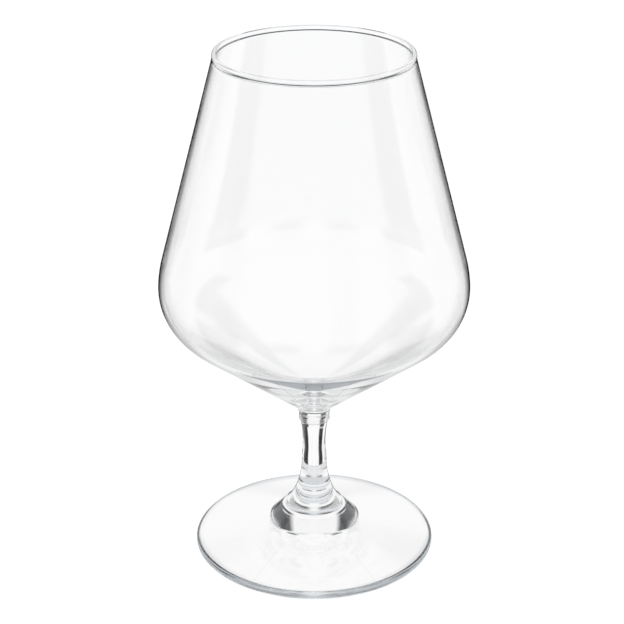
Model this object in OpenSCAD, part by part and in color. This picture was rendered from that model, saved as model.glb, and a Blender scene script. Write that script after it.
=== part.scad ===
// Brandy snifter of clear glass, millimetres, +Z up.
// The origin is the centre of the ring on which the foot rests.
// The blown bowl, the drawn stem and the pressed foot are three pieces of
// glass, each its own solid, that meet face to face at two flat fused joints.

/* [Bowl] */
// Height of the whole glass, from the table to the top of the rim
glass_h = 160.4; // [150:0.1:172]
// Outside diameter over the rim bead
rim_d = 58.9; // [54:0.1:66]
// Thickness of the fire-polished bead that closes the rim
rim_bead_d = 1.45; // [1.3:0.05:1.9]
// Wall just below the rim bead
rim_wall = 0.8; // [0.6:0.05:1.2]
// Outside diameter at the widest place
belly_d = 93.9; // [88:0.1:100]
// Height of the widest place above the table
belly_h = 88.1; // [82:0.1:94]
// Wall at the widest place and round the turn under it
belly_wall = 1.3; // [1:0.05:2]
// Outside radius of the slow curve above the widest place
shoulder_r = 38; // [30:0.5:46]
// Outside radius of the quick turn below the widest place
turn_r = 18; // [14:0.5:22]
// How far above the widest place, in degrees, the quick turn begins
turn_start = 4; // [0:0.5:8]
// Radius of the hollow curve that leads from the bowl down into the stem
root_r = 5; // [3:0.25:7]
// Solid glass between the bottom of the hollow and the stem
floor_t = 5; // [3.5:0.25:8]
// Radius of the rounded bottom of the hollow
well_r = 6; // [4:0.5:9]

/* [Stem] */
// Height of the fused joint between the stem and the bowl
bowl_joint_h = 44.3; // [42:0.1:47]
// Diameter of the fused joint between the stem and the bowl
bowl_joint_d = 9.4; // [8.8:0.1:11]
// Diameter over the lip under the joint
lip_d = 9.6; // [9.4:0.1:10.4]
// Height of the lip and its band below the joint
lip_h = 1.5; // [1:0.1:2.4]
// Steepness of the neck where it leaves the lip, degrees below level
neck_slope = 45; // [35:1:60]
// Diameter of the stem at its thinnest
waist_d = 7.1; // [6:0.1:8]
// Height of the thinnest place
waist_h = 35; // [32:0.5:37.5]
// Diameter of the stem where its foot starts to flare
ankle_d = 7.8; // [7:0.1:9]
// Height at which the flare starts
ankle_h = 28; // [25:0.5:30]
// Diameter of the bell at the bottom of the stem
bell_d = 17.2; // [15:0.1:19]
// Height of the bell's upright side
bell_h = 1.6; // [0.8:0.1:2.4]

/* [Foot] */
// Height of the fused joint between the foot and the stem
foot_joint_h = 12.8; // [11:0.1:14]
// Diameter of the raised boss on which the stem stands
boss_d = 21.6; // [20:0.1:24]
// Radius of the boss's rounded edge
boss_edge_r = 1.6; // [1:0.1:2.2]
// Diameter at which the boss's sloping side meets the disc
boss_foot_d = 29.8; // [27:0.1:32]
// Height of the disc where the boss meets it
boss_foot_h = 8.2; // [7.4:0.1:9]
// Radius of the hollow curve from the boss out into the disc
boss_root_r = 1.5; // [1:0.1:3]
// Diameter of the foot
foot_d = 75; // [68:0.5:84]
// Thickness of the foot at its rounded edge
edge_t = 2.8; // [2.2:0.1:3.4]
// Width of the flat ring on which the foot rests
rest_w = 2; // [1.5:0.1:3]
// Height of the hollow under the middle of the foot
underside_h = 2.6; // [1.5:0.1:3.5]

/* [Hidden] */
glass_colour = [0.86, 0.91, 0.93, 0.45];

// Facets round the axis, and the angle between two points of an arc
round_facets = 96;
arc_step = 5;
// Points along each smooth curve of the stem
curve_points = 12;

// The rim bead is a round ring of glass, centred here in section
rim_bead_r = rim_bead_d / 2;
rim_bead_centre = [rim_d / 2 - rim_bead_r, glass_h - rim_bead_r];
// Half the angle that the wall takes up on the bead, seen from its centre
rim_wall_angle = asin(rim_wall / rim_bead_d);

// The two circles that shape the belly touch each other at turn_start
turn_centre = [belly_d / 2 - turn_r, belly_h];
shoulder_centre = turn_centre - (shoulder_r - turn_r) * unit(turn_start);

// The hollow curve at the root of the bowl
root_centre = [bowl_joint_d / 2 + root_r, bowl_joint_h];

// The rounded edge of the boss, and the hollow curve at the bottom of its side
boss_edge_centre = [boss_d / 2 - boss_edge_r, foot_joint_h - boss_edge_r];
boss_root_centre = [boss_foot_d / 2, boss_foot_h + boss_root_r];

// The rounded bottom of the hollow
well_centre = [0, bowl_joint_h + floor_t + well_r];

// Small radii at the lip and at the bell
lip_edge_r = lip_h / 6;
bell_edge_r = bell_h / 2;

// How strongly the curves of the stem hold their direction, as shares of
// the height that each one covers
neck_hold_share = 0.45;
// How much less the neck holds its direction as it leaves the lip
neck_flare_share = 0.3;
ankle_hold_share = 0.5;
flare_hold_share = 0.3;
// Steepness of the flare where it reaches the bell, degrees below level
flare_slope = 50;

// The rounded edge of the foot
edge_r = edge_t / 2;
edge_centre = [foot_d / 2 - edge_r, edge_r];
// Inner radius of the ring on which the foot rests
rest_inner_r = edge_centre.x - rest_w;
// Radius of the shallow dome under the foot
underside_r = (rest_inner_r ^ 2 + underside_h ^ 2) / (2 * underside_h);

// Unit vector at an angle from +X, counter-clockwise
function unit(angle) = [cos(angle), sin(angle)];

// Angle from +X of a vector
function heading(v) = atan2(v.y, v.x);

// Points of an arc round a centre, from one angle to another
function arc(centre, radius, from, to) =
    let (steps = max(1, ceil(abs(to - from) / arc_step)))
    [for (i = [0:steps]) centre + radius * unit(from + (to - from) * i / steps)];

// Points of a smooth curve that leaves a along lead_a and reaches b along lead_b
function curve(a, lead_a, b, lead_b) =
    [for (i = [0:curve_points])
        let (t = i / curve_points, u = 1 - t)
        u ^ 3 * a
            + 3 * u ^ 2 * t * (a + lead_a)
            + 3 * u * t ^ 2 * (b - lead_b)
            + t ^ 3 * b];

// Angle on a circle at which a straight line from a point touches it.
// The side is -1 clockwise of the point, seen from the centre, or else 1.
function touch(point, centre, radius, side) =
    heading(point - centre) + side * acos(radius / norm(point - centre));

// Angle on circle a at which a straight line touches both circles.
// A positive radius_b has both circles on one side of the line, and a
// negative one has circle b on the other side.
function shared_touch(centre_a, radius_a, centre_b, radius_b, side) =
    heading(centre_b - centre_a)
        + side * acos((radius_a - radius_b) / norm(centre_b - centre_a));

// Outside of the bowl, from its bottom edge up to the bead
function bowl_outside(wall_end) =
    let (cone = shared_touch(turn_centre, turn_r, root_centre, -root_r, 1),
         wall = touch(wall_end, shoulder_centre, shoulder_r, -1))
    concat(
        arc(root_centre, root_r, 180, cone + 180),
        arc(turn_centre, turn_r, cone, turn_start),
        arc(shoulder_centre, shoulder_r, turn_start, wall)
    );

// Inside of the bowl, from the bead down to the axis
function bowl_inside(wall_end) =
    let (inner_turn_r = turn_r - belly_wall,
         inner_shoulder_r = shoulder_r - belly_wall,
         cone = shared_touch(turn_centre, inner_turn_r, well_centre, well_r, 1),
         wall = touch(wall_end, shoulder_centre, inner_shoulder_r, -1))
    concat(
        arc(shoulder_centre, inner_shoulder_r, wall, turn_start),
        arc(turn_centre, inner_turn_r, turn_start, cone),
        arc(well_centre, well_r, cone, -90)
    );

// Turns an outline on the +X side of the axis into a round solid
module turned(outline) {
    rotate_extrude($fn = round_facets) polygon(outline);
}

// The blown bowl, open at the rim
module bowl() {
    mean_r = shoulder_r - belly_wall / 2;
    wall_foot = shoulder_centre
        + mean_r * unit(touch(rim_bead_centre, shoulder_centre, mean_r, -1));
    down_wall = heading(wall_foot - rim_bead_centre);
    outer_angle = down_wall + rim_wall_angle;
    inner_angle = down_wall + 360 - rim_wall_angle;
    outer_end = rim_bead_centre + rim_bead_r * unit(outer_angle);
    inner_end = rim_bead_centre + rim_bead_r * unit(inner_angle);
    color(glass_colour)
        turned(concat(
            [[0, bowl_joint_h]],
            bowl_outside(outer_end),
            arc(rim_bead_centre, rim_bead_r, outer_angle, inner_angle),
            bowl_inside(inner_end)
        ));
}

// The drawn stem: lip, neck, waist, ankle and the bell that stands on the foot
module stem() {
    lip_centre = [lip_d / 2 - lip_edge_r, bowl_joint_h - lip_h + lip_edge_r];
    neck_top = lip_centre + lip_edge_r * unit(-neck_slope);
    waist = [waist_d / 2, waist_h];
    ankle = [ankle_d / 2, ankle_h];
    bell_top = [bell_d / 2 - bell_edge_r, foot_joint_h + bell_h + bell_edge_r];
    down = [0, -1];
    neck_hold = neck_hold_share * (neck_top.y - waist.y);
    out_neck = unit(-neck_slope - 90) * neck_hold * neck_flare_share;
    down_ankle = down * ankle_hold_share * (waist.y - ankle.y);
    down_flare = down * flare_hold_share * (ankle.y - bell_top.y);
    out_flare = unit(-flare_slope) * flare_hold_share * (ankle.y - bell_top.y);
    color(glass_colour)
        turned(concat(
            [[0, bowl_joint_h], [bowl_joint_d / 2, bowl_joint_h]],
            arc(lip_centre, lip_edge_r, 0, -neck_slope),
            curve(neck_top, out_neck, waist, down * neck_hold),
            curve(waist, down_ankle, ankle, down_ankle),
            curve(ankle, down_flare, bell_top, out_flare),
            [[bell_d / 2, foot_joint_h + bell_h], [bell_d / 2, foot_joint_h]],
            [[0, foot_joint_h]]
        ));
}

// The pressed foot: a boss that carries the stem and a shallow, hollowed disc
module foot() {
    side = shared_touch(boss_edge_centre, boss_edge_r, boss_root_centre, -boss_root_r, 1);
    slope = shared_touch(edge_centre, edge_r, boss_root_centre, -boss_root_r, -1);
    dome_centre = [0, underside_h - underside_r];
    dome_end = heading([rest_inner_r, 0] - dome_centre);
    color(glass_colour)
        turned(concat(
            [[0, foot_joint_h]],
            arc(boss_edge_centre, boss_edge_r, 90, side),
            arc(boss_root_centre, boss_root_r, side + 180, slope + 180),
            arc(edge_centre, edge_r, slope, -90),
            arc(dome_centre, underside_r, dome_end, 90)
        ));
}

bowl();
stem();
foot();
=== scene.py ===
"""A clear glass brandy snifter, turned and dressed for its picture.

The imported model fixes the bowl, the stem and the foot at their real size. Each
piece is turned again here from the same outline, fine enough for glass to bend
light smoothly, and carries the small marks that its making leaves.
"""

import logging
import math
from dataclasses import dataclass, replace
from enum import Enum, IntEnum

import bmesh
import bpy
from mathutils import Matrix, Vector
from mathutils.geometry import interpolate_bezier


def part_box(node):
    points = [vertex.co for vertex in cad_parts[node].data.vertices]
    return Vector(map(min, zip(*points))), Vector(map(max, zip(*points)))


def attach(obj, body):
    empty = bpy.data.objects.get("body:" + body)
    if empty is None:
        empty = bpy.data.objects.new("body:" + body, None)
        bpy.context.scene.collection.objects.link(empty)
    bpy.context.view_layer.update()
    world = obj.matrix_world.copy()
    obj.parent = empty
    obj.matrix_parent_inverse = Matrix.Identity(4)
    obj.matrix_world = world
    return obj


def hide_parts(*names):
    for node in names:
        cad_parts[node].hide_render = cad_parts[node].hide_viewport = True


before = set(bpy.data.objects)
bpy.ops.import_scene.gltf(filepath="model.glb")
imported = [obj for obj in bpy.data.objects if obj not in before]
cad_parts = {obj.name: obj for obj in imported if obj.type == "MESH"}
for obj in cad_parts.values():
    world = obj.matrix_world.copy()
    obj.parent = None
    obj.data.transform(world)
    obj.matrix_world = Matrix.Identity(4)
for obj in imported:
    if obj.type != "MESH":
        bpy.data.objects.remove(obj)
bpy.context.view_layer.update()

LOG = logging.getLogger("snifter")

# Outlines are drawn in millimetres, and finished meshes are in metres.
MM = 0.001
# Longest straight stroke in an outline, and the most that one stroke of an arc turns.
LONGEST_STROKE = 1.2
MOST_TURN = math.radians(7)
# The fewest strokes of an arc, and what a smooth curve has beyond one point for each stroke.
FEWEST_STROKES = 2
CURVE_FINENESS = 2
EXTRA_POINTS = 4
# Points that are no further apart than this are one point, in millimetres.
SAME_POINT = 0.001
# Facets round the axis of a turned piece.
ROUND_FACETS = 224
# Edges sharper than this stay crisp, as where a side meets a fused face.
CRISP_ANGLE = math.radians(40)
# A face counts as level from this height of its unit normal on.
LEVEL = 0.999

# Light crosses many surfaces in a glass, and is turned back inside it many times.
MOST_BOUNCES = 32
MOST_BOUNCES_IN_GLASS = 24

WHITE = "#FFFFFF"
# Sockets of a colour mix, which has several of the same name: its two colours and its result.
MIX_FIRST, MIX_SECOND, MIX_RESULT = "in_6", "in_7", 2


def linear(hex_colour: str) -> tuple[float, float, float, float]:
    """Turns an sRGB colour into Blender's linear one.

    Args:
        hex_colour: The colour as "#RRGGBB".

    Returns:
        Linear red, green and blue, and an alpha of 1.
    """
    parts = [int(hex_colour[i:i + 2], 16) / 255 for i in (1, 3, 5)]
    red, green, blue = (c / 12.92 if c <= 0.04045 else ((c + 0.055) / 1.055) ** 2.4 for c in parts)
    return (red, green, blue, 1.0)


def point(x: float, z: float) -> Vector:
    """Returns a point of an outline: its distance from the axis and its height."""
    return Vector((x, 0.0, z))


def toward(angle: float) -> Vector:
    """Returns the unit vector at an angle from +X, counter-clockwise, in the outline's plane."""
    return point(math.cos(angle), math.sin(angle))


def heading(way: Vector) -> float:
    """Returns the angle from +X of a vector in the outline's plane."""
    return math.atan2(way.z, way.x)


def wrapped(angle: float) -> float:
    """Returns an angle brought into the half turn each side of 0."""
    return math.remainder(angle, math.tau)


def touch(start: Vector, centre: Vector, radius: float, side: int) -> float:
    """Finds where a straight line from a point touches a circle.

    Args:
        start: The point.
        centre: The circle's centre.
        radius: The circle's radius.
        side: -1 for the touch clockwise of the point, or else 1.

    Returns:
        The angle of the touch on the circle.
    """
    away = start - centre
    return heading(away) + side * math.acos(radius / away.length)


def shared_touch(centre_a: Vector, radius_a: float, centre_b: Vector, radius_b: float,
                 side: int) -> float:
    """Finds where one straight line touches two circles.

    Args:
        centre_a: Centre of circle a.
        radius_a: Radius of circle a.
        centre_b: Centre of circle b.
        radius_b: Radius of circle b, negative where b lies across the line from a.
        side: -1 or 1, for the line clockwise of b or the other one.

    Returns:
        The angle of the touch on circle a.
    """
    across = centre_b - centre_a
    return heading(across) + side * math.acos((radius_a - radius_b) / across.length)


def extent(node: str) -> tuple[float, float, float]:
    """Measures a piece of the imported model.

    Args:
        node: The node's name.

    Returns:
        Its outer radius, its bottom and its top, in millimetres.
    """
    low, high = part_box(node)
    return (high.x / MM, low.z / MM, high.z / MM)


class Outline:
    """One side of a turned piece's section, drawn stroke by stroke from the axis."""

    def __init__(self, start: Vector) -> None:
        """Puts the pen down.

        Args:
            start: The outline's first point.
        """
        self.mesh = bmesh.new()
        self.tip = self.mesh.verts.new(start)

    def line(self, end: Vector, longest: float = math.inf) -> None:
        """Draws a straight line from the tip.

        Args:
            end: Where the line ends.
            longest: The longest stroke.
        """
        start = self.tip.co.copy()
        strokes = max(1, math.ceil((end - start).length / longest))
        for i in range(strokes):
            made = bmesh.ops.extrude_vert_indiv(self.mesh, verts=[self.tip])
            self.tip = made["verts"][0]
            self.tip.co = start.lerp(end, (i + 1) / strokes)

    def arc(self, centre: Vector, radius: float, begin: float, end: float) -> None:
        """Draws a line to an arc's beginning, and then the arc.

        Args:
            centre: The arc's centre.
            radius: The arc's radius.
            begin: The angle at which it begins.
            end: The angle at which it ends, past begin in the way that it turns.
        """
        first = centre + radius * toward(begin)
        if (first - self.tip.co).length > SAME_POINT:
            self.line(first, LONGEST_STROKE)
        turn = end - begin
        strokes = math.ceil(max(abs(turn) / MOST_TURN, abs(turn) * radius / LONGEST_STROKE))
        made = bmesh.ops.spin(self.mesh, geom=[self.tip], cent=centre, axis=(0, -1, 0),
                              angle=turn, steps=max(FEWEST_STROKES, strokes),
                              use_duplicate=False)
        self.tip = next(g for g in made["geom_last"] if isinstance(g, bmesh.types.BMVert))

    def curve(self, leave: Vector, arrive: Vector, end: Vector) -> None:
        """Draws a smooth cubic curve from the tip.

        Args:
            leave: How the curve leaves the tip: its handle there.
            arrive: How it reaches its end, as a handle that points the way it goes.
            end: Where it ends.
        """
        start = self.tip.co.copy()
        strokes = math.ceil((end - start).length / LONGEST_STROKE)
        places = interpolate_bezier(start, start + leave, end - arrive, end,
                                    CURVE_FINENESS * strokes + EXTRA_POINTS)
        for place in places[1:]:
            self.line(place)

    def turned(self, name: str) -> bpy.types.Object:
        """Turns the outline into a closed round piece.

        Args:
            name: The piece's name.

        Returns:
            The piece, at the origin, with its place in its mesh.
        """
        skin = self.mesh
        bmesh.ops.spin(skin, geom=skin.verts[:] + skin.edges[:], cent=(0, 0, 0), axis=(0, 0, 1),
                       angle=math.tau, steps=ROUND_FACETS, use_merge=True, use_duplicate=False)
        bmesh.ops.remove_doubles(skin, verts=skin.verts[:], dist=SAME_POINT)
        bmesh.ops.recalc_face_normals(skin, faces=skin.faces[:])
        for edge in skin.edges:
            edge.smooth = edge.calc_face_angle(0.0) < CRISP_ANGLE
        for face in skin.faces:
            face.smooth = True
        bmesh.ops.scale(skin, vec=(MM, MM, MM), verts=skin.verts[:])
        mesh = bpy.data.meshes.new(name)
        skin.to_mesh(mesh)
        skin.free()
        piece = bpy.data.objects.new(name, mesh)
        bpy.context.scene.collection.objects.link(piece)
        return piece


def blank_material(name: str) -> tuple[bpy.types.Material, bpy.types.NodeTree]:
    """Makes a material that has no nodes yet.

    Args:
        name: The material's name.

    Returns:
        The material and its node tree.
    """
    made = bpy.data.materials.new(name)
    made.use_nodes = True
    made.node_tree.nodes.clear()
    return made, made.node_tree


def add(tree: bpy.types.NodeTree, kind: str, settings: dict[str, object] | None = None,
        **inputs: object) -> bpy.types.Node:
    """Adds a node with its settings and its inputs.

    Args:
        tree: The node tree.
        kind: The node's type.
        settings: Attributes to set on the node.
        **inputs: For each input a value, an output socket, or a node whose first output is
            meant. An input is given by its name with _ for a space, or by in_ and its number.

    Returns:
        The node.
    """
    node = tree.nodes.new(kind)
    for key, value in (settings or {}).items():
        setattr(node, key, value)
    for key, value in inputs.items():
        by_number = key.startswith("in_")
        socket = node.inputs[int(key[3:]) if by_number else key.replace("_", " ")]
        if isinstance(value, bpy.types.Node):
            value = value.outputs[0]
        if isinstance(value, bpy.types.NodeSocket):
            tree.links.new(value, socket)
        else:
            socket.default_value = value
    return node


@dataclass(frozen=True)
class ClearGlass:
    """Clear soda-lime glass, fire polished, which shows what it bends and reflects, with a painted
    dark edge where a wall is seen edge on, and a painted shade on light that is let out after many
    turns.
    """

    name: str = "clear soda-lime glass"
    # What its skin lets through of each colour, and what it lets through into its shadow.
    tint: str = "#FEFEFE"
    shade: str = "#F2F3F3"
    ior: float = 1.52
    # How rough the skin is all over.
    roughness: float = 0.0
    # A painted dark edge: the deep tone laid on a wall that is seen edge on, which stands in for
    # the dark room that the glass bends and reflects there, and how far from facing the eye the
    # wall has turned where that painted tone starts and where it is full.
    edge: str = "#24282C"
    edge_start: float = 0.78
    painted_edge_full: float = 0.88
    # How far down a wall may lean before it loses that painted edge, as the height of its unit
    # normal, and over how much more of that height the painted edge comes in.
    painted_edge_lean: float = -0.6
    painted_edge_lean_soften: float = 0.5
    # Size and depth of the slow waves that blowing and pressing leave, in millimetres, and
    # how many times finer waves are laid over them, at what share of their depth.
    wave_mm: float = 14.0
    wave_depth_mm: float = 0.02
    wave_detail: float = 1.0
    wave_detail_share: float = 0.4
    # How many times light may turn inside before it is let straight out, and the colour that this
    # leaves on it, a painted shade in place of the turns that are cut. Without this the thick
    # bottom and the foot's edge would go black.
    deepest: float = 9.5
    spent: str = "#F2F3F3"
    # The band round the upper joint, which melting has left a little hazy: its heights, in
    # millimetres, and how much rougher it is, or 0 on a piece that has no such band.
    seam_bottom: float = 42.7
    seam_top: float = 44.5
    seam_roughness: float = 0.55

    def material(self) -> bpy.types.Material:
        """Builds the glass.

        Returns:
            The material.
        """
        made, tree = blank_material(self.name)
        place = add(tree, "ShaderNodeTexCoord").outputs["Object"]
        path = add(tree, "ShaderNodeLightPath")
        roughness = self.haze(tree, place) if self.seam_roughness else self.roughness
        # The base colour carries the painted dark edge.
        glass = add(tree, "ShaderNodeBsdfPrincipled", Base_Color=self.tint_with_painted_edge(tree, path),
                    Roughness=roughness, IOR=self.ior, Transmission_Weight=1.0,
                    Normal=self.waves(tree, place))
        spent = add(tree, "ShaderNodeMath", {"operation": "GREATER_THAN"},
                    in_0=path.outputs["Ray Depth"], in_1=self.deepest)
        # Light let out after many turns takes the painted shade in spent; shadow rays take shade.
        cost = add(tree, "ShaderNodeMix", {"data_type": "RGBA"}, Factor=spent,
                   **{MIX_FIRST: linear(self.shade), MIX_SECOND: linear(self.spent)})
        clear = add(tree, "ShaderNodeBsdfTransparent", Color=cost.outputs[MIX_RESULT])
        let_out = add(tree, "ShaderNodeMath", {"operation": "MAXIMUM"},
                      in_0=path.outputs["Is Shadow Ray"], in_1=spent)
        both = add(tree, "ShaderNodeMixShader", in_0=let_out, in_1=glass, in_2=clear)
        add(tree, "ShaderNodeOutputMaterial", Surface=both)
        return made

    def waves(self, tree: bpy.types.NodeTree, place: bpy.types.NodeSocket) -> bpy.types.Node:
        """Adds the slow waves of the skin.

        Args:
            tree: The material's node tree.
            place: The place on the object.

        Returns:
            The node that bends the normal.
        """
        swell = add(tree, "ShaderNodeTexNoise", {"noise_dimensions": "3D"}, Vector=place,
                    Scale=1 / (self.wave_mm * MM), Detail=self.wave_detail,
                    Roughness=self.wave_detail_share)
        return add(tree, "ShaderNodeBump", Strength=1.0, Distance=self.wave_depth_mm * MM,
                   Height=swell)

    def tint_with_painted_edge(self, tree: bpy.types.NodeTree, path: bpy.types.Node) -> bpy.types.NodeSocket:
        """Adds the tint, with a painted dark edge where the eye meets a wall edge on.

        Args:
            tree: The material's node tree.
            path: The light path.

        Returns:
            The colour.
        """
        facing = add(tree, "ShaderNodeLayerWeight", Blend=0.5)
        painted_edge_facing_share = add(tree, "ShaderNodeMapRange", Value=facing.outputs["Facing"],
                      From_Min=self.edge_start, From_Max=self.painted_edge_full)
        normal = add(tree, "ShaderNodeNewGeometry").outputs["Normal"]
        slope = add(tree, "ShaderNodeSeparateXYZ", Vector=normal)
        painted_edge_upright = add(tree, "ShaderNodeMapRange", Value=slope.outputs["Z"],
                      From_Min=self.painted_edge_lean, From_Max=self.painted_edge_lean + self.painted_edge_lean_soften)
        painted_edge_wall = add(tree, "ShaderNodeMath", {"operation": "MULTIPLY"}, in_0=painted_edge_facing_share, in_1=painted_edge_upright)
        # Painted dark edge: laid on camera rays only, by how the wall faces the eye.
        first = add(tree, "ShaderNodeMath", {"operation": "MULTIPLY"}, in_0=painted_edge_wall,
                    in_1=path.outputs["Is Camera Ray"])
        mixed = add(tree, "ShaderNodeMix", {"data_type": "RGBA"}, Factor=first,
                    **{MIX_FIRST: linear(self.tint), MIX_SECOND: linear(self.edge)})
        return mixed.outputs[MIX_RESULT]

    def haze(self, tree: bpy.types.NodeTree, place: bpy.types.NodeSocket) -> bpy.types.Node:
        """Adds the roughness, which is greater in the band round the upper joint.

        Args:
            tree: The material's node tree.
            place: The place on the object.

        Returns:
            The roughness.
        """
        height = add(tree, "ShaderNodeSeparateXYZ", Vector=place).outputs["Z"]
        seam = add(tree, "ShaderNodeMath", {"operation": "COMPARE"}, in_0=height,
                   in_1=(self.seam_bottom + self.seam_top) / 2 * MM,
                   in_2=(self.seam_top - self.seam_bottom) / 2 * MM)
        return add(tree, "ShaderNodeMath", {"operation": "MULTIPLY_ADD"}, in_0=seam,
                   in_1=self.seam_roughness, in_2=self.roughness)


@dataclass(frozen=True)
class FusedFace:
    """The inside of a joint where two pieces of glass have melted into one, so nothing shows."""

    name: str = "fused glass joint"

    def material(self) -> bpy.types.Material:
        """Builds the joint's finish.

        Returns:
            The material.
        """
        made, tree = blank_material(self.name)
        clear = add(tree, "ShaderNodeBsdfTransparent")
        add(tree, "ShaderNodeOutputMaterial", Surface=clear)
        return made


@dataclass(frozen=True)
class WhiteTable:
    """Matt white laminate, which shows as plain white with a soft shadow under the glass."""

    name: str = "white table"
    colour: str = "#F4F4F4"
    # How much of what the eye sees is plain white, and not the lamps' light on the table.
    glow: float = 0.85

    def material(self) -> bpy.types.Material:
        """Builds the table's finish.

        Returns:
            The material.
        """
        made, tree = blank_material(self.name)
        matt = add(tree, "ShaderNodeBsdfDiffuse", Color=linear(self.colour))
        plain = add(tree, "ShaderNodeEmission", Strength=1.0)
        path = add(tree, "ShaderNodeLightPath")
        share = add(tree, "ShaderNodeMath", {"operation": "MULTIPLY"},
                    in_0=path.outputs["Is Camera Ray"], in_1=self.glow)
        both = add(tree, "ShaderNodeMixShader", in_0=share, in_1=matt, in_2=plain)
        add(tree, "ShaderNodeOutputMaterial", Surface=both)
        return made


class Joint(Enum):
    """The fused joints of the glass, each by the node whose bottom it is."""

    BOWL_TO_STEM = "bowl"
    STEM_TO_FOOT = "stem"

    def height(self) -> float:
        """Returns the height of the joint, in metres."""
        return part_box(self.value)[0].z


class Finish(IntEnum):
    """The finishes on a piece of the glass, by their places in its list of materials."""

    SKIN = 0
    FUSED = 1
    # The foot's rounded edge: rougher, with a painted grey tint.
    SOFTENED_PAINTED_GREY = 2


@dataclass
class Gather:
    """One gather of glass, turned round the axis and fused to the next one.

    Sizes are in millimetres and angles in degrees.
    """

    def build(self) -> bpy.types.Object:
        """Turns the piece, as each kind of gather does in its own way."""
        raise NotImplementedError

    def dress(self, piece: bpy.types.Object, finishes: list[bpy.types.Material]) -> None:
        """Gives the piece its skin, and the faces inside a joint their own finish.

        Args:
            piece: The turned piece.
            finishes: Its materials, in the order of Finish.
        """
        for finish in finishes:
            piece.data.materials.append(finish)
        heights = [joint.height() for joint in Joint]
        for face in piece.data.polygons:
            level = abs(face.normal.z) > LEVEL
            if level and any(abs(face.center.z - h) < SAME_POINT * MM for h in heights):
                face.material_index = Finish.FUSED


@dataclass
class Bowl(Gather):
    """The blown bowl: a thin wall with a bead round its rim, over a thick bottom."""

    rim_d: float = 58.9
    rim_bead_d: float = 1.45
    # How far below its middle the bead has sagged into the wall, and how far the curves
    # between them hold their direction: across and along the wall, and then up the bead.
    rim_bead_sag: float = 0.9
    rim_wall_hold: float = 0.2
    rim_bead_hold: float = 0.35
    rim_wall: float = 0.8
    belly_h: float = 88.1
    belly_wall: float = 1.3
    shoulder_r: float = 38.0
    turn_r: float = 18.0
    turn_start: float = 4.0
    root_r: float = 5.0
    floor_t: float = 5.0
    well_r: float = 6.0
    joint_d: float = 9.4

    def build(self) -> bpy.types.Object:
        """Turns the bowl.

        Returns:
            The bowl.
        """
        belly_r, bottom, top = extent("bowl")
        bead_r = self.rim_bead_d / 2
        bead = point(self.rim_d / 2 - bead_r, top - bead_r)
        start = math.radians(self.turn_start)
        turn = point(belly_r - self.turn_r, self.belly_h)
        shoulder = turn - (self.shoulder_r - self.turn_r) * toward(start)
        root = point(self.joint_d / 2 + self.root_r, bottom)
        well = point(0, bottom + self.floor_t + self.well_r)
        mean_r = self.shoulder_r - self.belly_wall / 2
        wall_foot = shoulder + mean_r * toward(touch(bead, shoulder, mean_r, -1))
        down_wall = heading(wall_foot - bead)
        down, out = toward(down_wall), toward(down_wall + math.pi / 2)
        sagged = bead + self.rim_bead_sag * down
        outer_end = sagged + self.rim_wall / 2 * out
        inner_end = sagged - self.rim_wall / 2 * out
        inner_turn_r = self.turn_r - self.belly_wall
        inner_shoulder_r = self.shoulder_r - self.belly_wall
        cone = wrapped(shared_touch(turn, self.turn_r, root, -self.root_r, 1))
        inner_cone = wrapped(shared_touch(turn, inner_turn_r, well, self.well_r, 1))

        pen = Outline(point(0, bottom))
        pen.arc(root, self.root_r, math.pi, cone + math.pi)
        pen.arc(turn, self.turn_r, cone, start)
        pen.arc(shoulder, self.shoulder_r, start, touch(outer_end, shoulder, self.shoulder_r, -1))
        pen.line(outer_end, LONGEST_STROKE)
        pen.curve(self.rim_wall_hold * (out - down), -self.rim_bead_hold * down,
                  bead + bead_r * out)
        pen.arc(bead, bead_r, down_wall + math.pi / 2, down_wall + 3 * math.pi / 2)
        pen.curve(self.rim_bead_hold * down, self.rim_wall_hold * (out + down), inner_end)
        pen.arc(shoulder, inner_shoulder_r, touch(inner_end, shoulder, inner_shoulder_r, -1), start)
        pen.arc(turn, inner_turn_r, start, inner_cone)
        pen.arc(well, self.well_r, inner_cone, -math.pi / 2)
        return pen.turned("bowl_glass")


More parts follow.
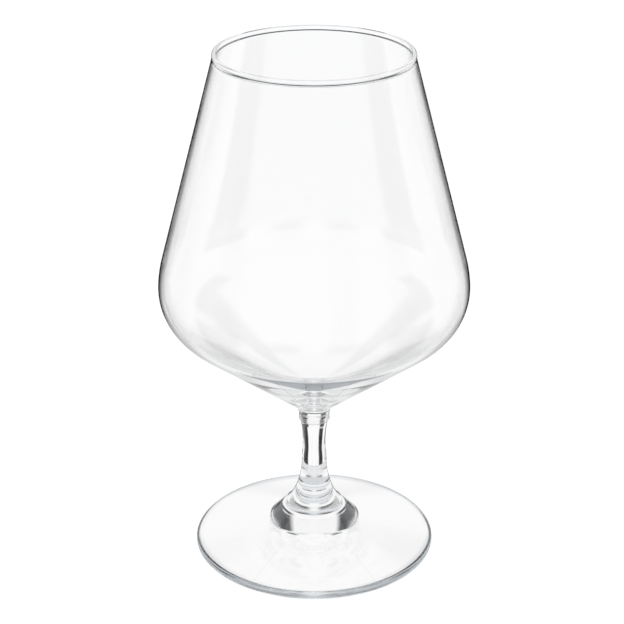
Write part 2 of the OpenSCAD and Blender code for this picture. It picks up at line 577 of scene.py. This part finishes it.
@dataclass
class Stem(Gather):
    """The drawn stem: a lip under the bowl, a waist, and a bell that stands on the foot."""

    joint_d: float = 9.4
    lip_d: float = 9.6
    lip_h: float = 1.5
    neck_slope: float = 45.0
    waist_d: float = 7.1
    waist_h: float = 35.0
    ankle_d: float = 7.8
    ankle_h: float = 28.0
    bell_h: float = 1.6
    # How far the curves hold their direction, as shares of the height that each one covers,
    # and how much less the neck does so as it leaves the lip.
    neck_hold_share: float = 0.45
    neck_flare_share: float = 0.3
    ankle_hold_share: float = 0.5
    flare_hold_share: float = 0.3
    flare_slope: float = 50.0

    def build(self) -> bpy.types.Object:
        """Turns the stem.

        Returns:
            The stem.
        """
        bell_r, bottom, top = extent("stem")
        bell_edge_r = self.bell_h / 2
        lip_edge_r = self.lip_h / 6
        lip = point(self.lip_d / 2 - lip_edge_r, top - self.lip_h + lip_edge_r)
        lip_end = -math.radians(self.neck_slope)
        neck_top = lip + lip_edge_r * toward(lip_end)
        waist = point(self.waist_d / 2, self.waist_h)
        ankle = point(self.ankle_d / 2, self.ankle_h)
        bell_top = point(bell_r - bell_edge_r, bottom + self.bell_h + bell_edge_r)
        down = point(0, -1)
        neck_hold = self.neck_hold_share * (neck_top.z - waist.z)
        down_ankle = down * self.ankle_hold_share * (waist.z - ankle.z)
        flare_hold = self.flare_hold_share * (ankle.z - bell_top.z)

        pen = Outline(point(0, top))
        pen.line(point(self.joint_d / 2, top))
        pen.arc(lip, lip_edge_r, 0, lip_end)
        pen.curve(toward(lip_end - math.pi / 2) * neck_hold * self.neck_flare_share,
                  down * neck_hold, waist)
        pen.curve(down_ankle, down_ankle, ankle)
        pen.curve(down * flare_hold, toward(-math.radians(self.flare_slope)) * flare_hold, bell_top)
        pen.line(point(bell_r, bottom + self.bell_h))
        pen.line(point(bell_r, bottom))
        pen.line(point(0, bottom))
        return pen.turned("stem_glass")


@dataclass
class Foot(Gather):
    """The pressed foot: a boss under the stem and a shallow disc, hollowed underneath."""

    boss_d: float = 21.6
    boss_edge_r: float = 1.6
    boss_root_r: float = 1.8
    boss_foot_d: float = 29.8
    boss_foot_h: float = 8.2
    edge_t: float = 2.8
    rest_w: float = 2.0
    underside_h: float = 2.6

    def build(self) -> bpy.types.Object:
        """Turns the foot.

        Returns:
            The foot.
        """
        foot_r, bottom, top = extent("foot")
        boss_edge = point(self.boss_d / 2 - self.boss_edge_r, top - self.boss_edge_r)
        boss_root = point(self.boss_foot_d / 2, bottom + self.boss_foot_h + self.boss_root_r)
        edge_r = self.edge_t / 2
        edge = point(foot_r - edge_r, bottom + edge_r)
        rest_r = edge.x - self.rest_w
        dome_r = (rest_r ** 2 + self.underside_h ** 2) / (2 * self.underside_h)
        dome = point(0, bottom + self.underside_h - dome_r)
        slope = shared_touch(edge, edge_r, boss_root, -self.boss_root_r, -1)
        side = shared_touch(boss_edge, self.boss_edge_r, boss_root, -self.boss_root_r, 1)

        pen = Outline(point(0, top))
        pen.arc(boss_edge, self.boss_edge_r, math.pi / 2, side)
        pen.arc(boss_root, self.boss_root_r, side + math.pi, slope + math.pi)
        pen.arc(edge, edge_r, slope, -math.pi / 2)
        pen.arc(dome, dome_r, heading(point(rest_r, bottom) - dome), math.pi / 2)
        return pen.turned("foot_glass")

    def dress(self, piece: bpy.types.Object, finishes: list[bpy.types.Material]) -> None:
        """Dresses the foot, and gives its rounded edge a rougher finish with a painted grey tint.

        Args:
            piece: The turned foot.
            finishes: Its materials, in the order of Finish.
        """
        super().dress(piece, finishes)
        edge_start = (extent("foot")[0] - self.edge_t / 2) * MM
        for face in piece.data.polygons:
            if face.center.xy.length > edge_start:
                face.material_index = Finish.SOFTENED_PAINTED_GREY


class Snifter:
    """The whole glass: bowl, stem and foot, each by the node that it stands for."""

    SLOT = "clear_glass"

    def __init__(self) -> None:
        """Sets up the three pieces and their finishes."""
        fused = FusedFace().material()
        blown = ClearGlass()
        # Pressed glass is less clear than blown glass; its painted dark edges are paler and show
        # all round, and its light let out after many turns gets a deeper painted shade.
        pressed = replace(blown, name="pressed soda-lime glass", tint="#FBFBFB", edge="#56626C",
                          painted_edge_lean=-1.6, spent="#BCC0C4", seam_roughness=0.0)
        # The foot's rounded edge is made rougher, and its tint is a painted grey that stands in for
        # the dark and light that the edge bends, so it shows as a soft grey band.
        softened_painted_grey = replace(pressed, name="pressed glass, softened edge", tint="#D0D5DA",
                           roughness=0.2)
        skin = blown.material()
        self.pieces: dict[str, tuple[Gather, list[bpy.types.Material]]] = {
            "bowl": (Bowl(), [skin, fused]),
            "stem": (Stem(), [skin, fused]),
            "foot": (Foot(), [pressed.material(), fused, softened_painted_grey.material()]),
        }

    def build(self) -> None:
        """Builds, dresses and seats every piece."""
        for node, (gather, finishes) in self.pieces.items():
            piece = gather.build()
            gather.dress(piece, finishes)
            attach(piece, "root")
            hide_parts(node)
            LOG.info("%s has %d faces", piece.name, len(piece.data.polygons))


def between(tree: bpy.types.NodeTree, angle: bpy.types.Node, low: float, high: float,
            soften: float) -> bpy.types.Node:
    """Adds a test of whether an angle lies between two limits.

    Args:
        tree: The node tree.
        angle: The angle, in degrees.
        low: The lower limit.
        high: The upper limit.
        soften: Half the width of the soft step at each limit.

    Returns:
        The test, which is 1 between the limits and 0 outside them.
    """
    half = (high - low) / 2
    from_middle = add(tree, "ShaderNodeMath", {"operation": "SUBTRACT"}, in_0=angle,
                      in_1=(low + high) / 2)
    away = add(tree, "ShaderNodeMath", {"operation": "ABSOLUTE"}, in_0=from_middle)
    return add(tree, "ShaderNodeMapRange", Value=away, From_Min=half + soften,
               From_Max=half - soften)


@dataclass(frozen=True)
class Card:
    """A dark card that stands beside the set, with its limits in degrees.

    Bearings run clockwise from straight ahead, and heights up from the horizon.
    """

    left: float
    right: float
    bottom: float
    top: float
    # How dark it is straight through the glass, and in light that the glass has turned back.
    direct: float = 1.0
    reflected: float = 1.0
    colour: str = "#0C0D0F"
    # Half the width of its soft edge.
    soften: float = 1.5

    def both_sides(self) -> tuple["Card", "Card"]:
        """Returns the card and its mirror image on the other side of the glass."""
        return (self, replace(self, left=-self.right, right=-self.left))

    def share(self, tree: bpy.types.NodeTree, bearing: bpy.types.Node, height: bpy.types.Node,
              turned_back: bpy.types.Node) -> bpy.types.Node:
        """Adds how much of the card the light shows.

        Args:
            tree: The room's node tree.
            bearing: Where the light comes from, round the set.
            height: Where it comes from, above the horizon.
            turned_back: Whether the glass has turned the light back.

        Returns:
            The share of the card in the light.
        """
        dark = add(tree, "ShaderNodeMapRange", Value=turned_back, To_Min=self.direct,
                   To_Max=self.reflected)
        inside = add(tree, "ShaderNodeMath", {"operation": "MULTIPLY"},
                     in_0=between(tree, bearing, self.left, self.right, self.soften),
                     in_1=between(tree, height, self.bottom, self.top, self.soften))
        return add(tree, "ShaderNodeMath", {"operation": "MULTIPLY"}, in_0=inside, in_1=dark)


@dataclass(frozen=True)
class Lamp:
    """A soft square lamp, which shows in no glass. Its sizes are in metres and watts."""

    name: str
    place: tuple[float, float, float]
    size: float
    power: float

    def hang(self, target: Vector) -> None:
        """Hangs the lamp and points it.

        Args:
            target: Where it points.
        """
        lamp = bpy.data.lights.new(self.name, "AREA")
        lamp.size = self.size
        lamp.energy = self.power
        hung = bpy.data.objects.new(self.name, lamp)
        hung.visible_glossy = False
        hung.visible_transmission = False
        hung.location = self.place
        hung.rotation_euler = (target - Vector(self.place)).to_track_quat("-Z", "Y").to_euler()
        bpy.context.scene.collection.objects.link(hung)


@dataclass
class Studio:
    """A plain white table in a white room, with soft lamps and dark cards beside the set.

    The cards show only in the glass, where they draw its edges. Sizes are in metres and
    angles in degrees, but for those that say otherwise.
    """

    camera_back: float = 0.5162
    camera_up: float = 0.3076
    camera_pitch: float = 23.90
    # Focal length in pixels of the frame, and how far right of its middle the glass stands.
    focal_px: float = 1859.5
    frame_px: float = 624.0
    right_px: float = 2.2
    sensor_mm: float = 36.0
    table_radius: float = 6.0
    table_facets: int = 96
    lamp_target: tuple[float, float, float] = (0.0, 0.0, 0.08)
    lamps: tuple[Lamp, ...] = (
        Lamp("key", (-0.9, -0.7, 1.5), 1.2, 26.0),
        Lamp("fill", (1.0, -0.2, 1.3), 1.0, 12.0),
    )
    cards: tuple[Card, ...] = (
        # The table as the glass shows it, a little greyer than the room, and more so on the
        # near side.
        Card(-181, 181, -91, -44, reflected=0.5, colour="#E9EAEC", soften=4),
        *Card(90, 270, -91, -34, colour="#D3D6D9", soften=5).both_sides(),
        # The dark blue upper room, all round, which draws the two lines of the rim.
        Card(-181, 181, 8, 34, reflected=0.05, colour="#1B2E40"),
        Card(-181, 181, 34, 60, reflected=0.0, colour="#1B2E40"),
        # The far sides of the room, which draw the two dark crescents on the boss.
        Card(-88, -23, 27, 44, direct=0.0, reflected=0.95, colour="#22262A", soften=3),
        Card(21, 88, 27, 44, direct=0.0, reflected=0.95, colour="#22262A", soften=3),
        # Low cards behind the glass, which draw the dark streaks in its stem.
        Card(-38, -18, -36, -23, reflected=0.0, soften=2),
        Card(-38, -18, -26, -15, reflected=0.0, soften=2),
        Card(-70, -58, -27, -1, direct=0.7, reflected=0.0, soften=2),
        Card(25, 58, -37, -1, reflected=0.0, soften=2),
        Card(58, 80, -27, -1, direct=0.9, reflected=0.0, soften=2),
        # Low cards beside the glass and before it, which keep the streaks dark where the
        # stem turns light back.
        *Card(86, 124, -34, -15, direct=0.0, reflected=0.85, soften=3).both_sides(),
        *Card(82, 114, -60, -34, direct=0.0, reflected=0.8, soften=3).both_sides(),
        *Card(146, 170, -35, -20, direct=0.0, reflected=0.9, soften=6).both_sides(),
        # Cards that only the wall's own reflections catch, and that draw the bowl's edges.
        *Card(5, 22, -28, -8, direct=0.0, soften=2).both_sides(),
        *Card(5, 33, -28, -2, direct=0.0, reflected=0.7, soften=6).both_sides(),
        *Card(5, 16, -8, 7, direct=0.0, reflected=0.4, soften=2).both_sides(),
        *Card(5, 36, -42, -28, direct=0.0, reflected=0.4, soften=3).both_sides(),
        # Cards that draw those edges for a low view from the same side.
        *Card(18, 38, -13, 6, reflected=0.0, soften=2).both_sides(),
        # Cards that draw them for the other sides.
        Card(-76, -58, -35, 6, reflected=0.15, soften=4),
        Card(-124, -105, -35, 6, reflected=0.2, soften=4),
        Card(103, 121, -35, 6, reflected=0.2, soften=4),
        Card(149, 169, -35, 6, reflected=0.2, soften=4),
    )

    def build(self) -> None:
        """Sets up the whole studio."""
        self.lay_table()
        for lamp in self.lamps:
            lamp.hang(Vector(self.lamp_target))
        self.surround()
        self.stand_camera()

    def lay_table(self) -> None:
        """Lays the white table, which keeps a soft shadow of the glass."""
        disc = bmesh.new()
        bmesh.ops.create_circle(disc, cap_ends=True, segments=self.table_facets,
                                radius=self.table_radius)
        mesh = bpy.data.meshes.new("floor")
        disc.to_mesh(mesh)
        disc.free()
        table = bpy.data.objects.new("floor", mesh)
        bpy.context.scene.collection.objects.link(table)
        mesh.materials.append(WhiteTable().material())
        table.visible_transmission = False
        table.visible_glossy = False

    def surround(self) -> None:
        """Makes the white room, and the cards that show only in the glass."""
        world = bpy.data.worlds.new("white room")
        bpy.context.scene.world = world
        world.use_nodes = True
        tree = world.node_tree
        tree.nodes.clear()
        path = add(tree, "ShaderNodeLightPath")
        way = add(tree, "ShaderNodeTexCoord").outputs["Generated"]
        parts = add(tree, "ShaderNodeSeparateXYZ", Vector=way)
        round_set = add(tree, "ShaderNodeMath", {"operation": "ARCTAN2"},
                        in_0=parts.outputs["X"], in_1=parts.outputs["Y"])
        bearing = add(tree, "ShaderNodeMath", {"operation": "MULTIPLY"}, in_0=round_set,
                      in_1=math.degrees(1))
        above = add(tree, "ShaderNodeMath", {"operation": "ARCSINE"}, in_0=parts.outputs["Z"])
        height = add(tree, "ShaderNodeMath", {"operation": "MULTIPLY"}, in_0=above,
                     in_1=math.degrees(1))
        turned_back = add(tree, "ShaderNodeMath", {"operation": "GREATER_THAN"},
                          in_0=path.outputs["Glossy Depth"], in_1=0.5)
        shown = linear(WHITE)
        for card in self.cards:
            share = card.share(tree, bearing, height, turned_back)
            mixed = add(tree, "ShaderNodeMix", {"data_type": "RGBA"}, Factor=share,
                        **{MIX_FIRST: shown, MIX_SECOND: linear(card.colour)})
            shown = mixed.outputs[MIX_RESULT]
        in_glass = add(tree, "ShaderNodeBackground", Color=shown, Strength=1.0)
        plain = add(tree, "ShaderNodeBackground", Color=linear(WHITE), Strength=1.0)
        bent = add(tree, "ShaderNodeMath", {"operation": "MAXIMUM"},
                   in_0=path.outputs["Is Glossy Ray"], in_1=path.outputs["Is Transmission Ray"])
        both = add(tree, "ShaderNodeMixShader", in_0=bent, in_1=plain, in_2=in_glass)
        add(tree, "ShaderNodeOutputWorld", Surface=both)

    def stand_camera(self) -> None:
        """Stands the camera where the picture was taken from."""
        lens = bpy.data.cameras.new("camera")
        lens.sensor_width = self.sensor_mm
        lens.lens = self.focal_px / self.frame_px * self.sensor_mm
        lens.shift_x = -self.right_px / self.frame_px
        stand = bpy.data.objects.new("camera", lens)
        stand.location = (0.0, -self.camera_back, self.camera_up)
        stand.rotation_euler = (math.radians(90 - self.camera_pitch), 0.0, 0.0)
        bpy.context.scene.collection.objects.link(stand)
        bpy.context.scene.camera = stand


def main() -> None:
    """Builds the studio and the glass."""
    logging.basicConfig(level=logging.INFO, format="%(name)s: %(message)s")
    scene = bpy.context.scene
    scene.view_settings.view_transform = "Standard"
    scene.cycles.max_bounces = MOST_BOUNCES
    scene.cycles.transmission_bounces = MOST_BOUNCES_IN_GLASS
    scene.cycles.glossy_bounces = MOST_BOUNCES_IN_GLASS
    scene.cycles.transparent_max_bounces = MOST_BOUNCES_IN_GLASS
    Studio().build()
    Snifter().build()


if __name__ == "__main__":
    main()
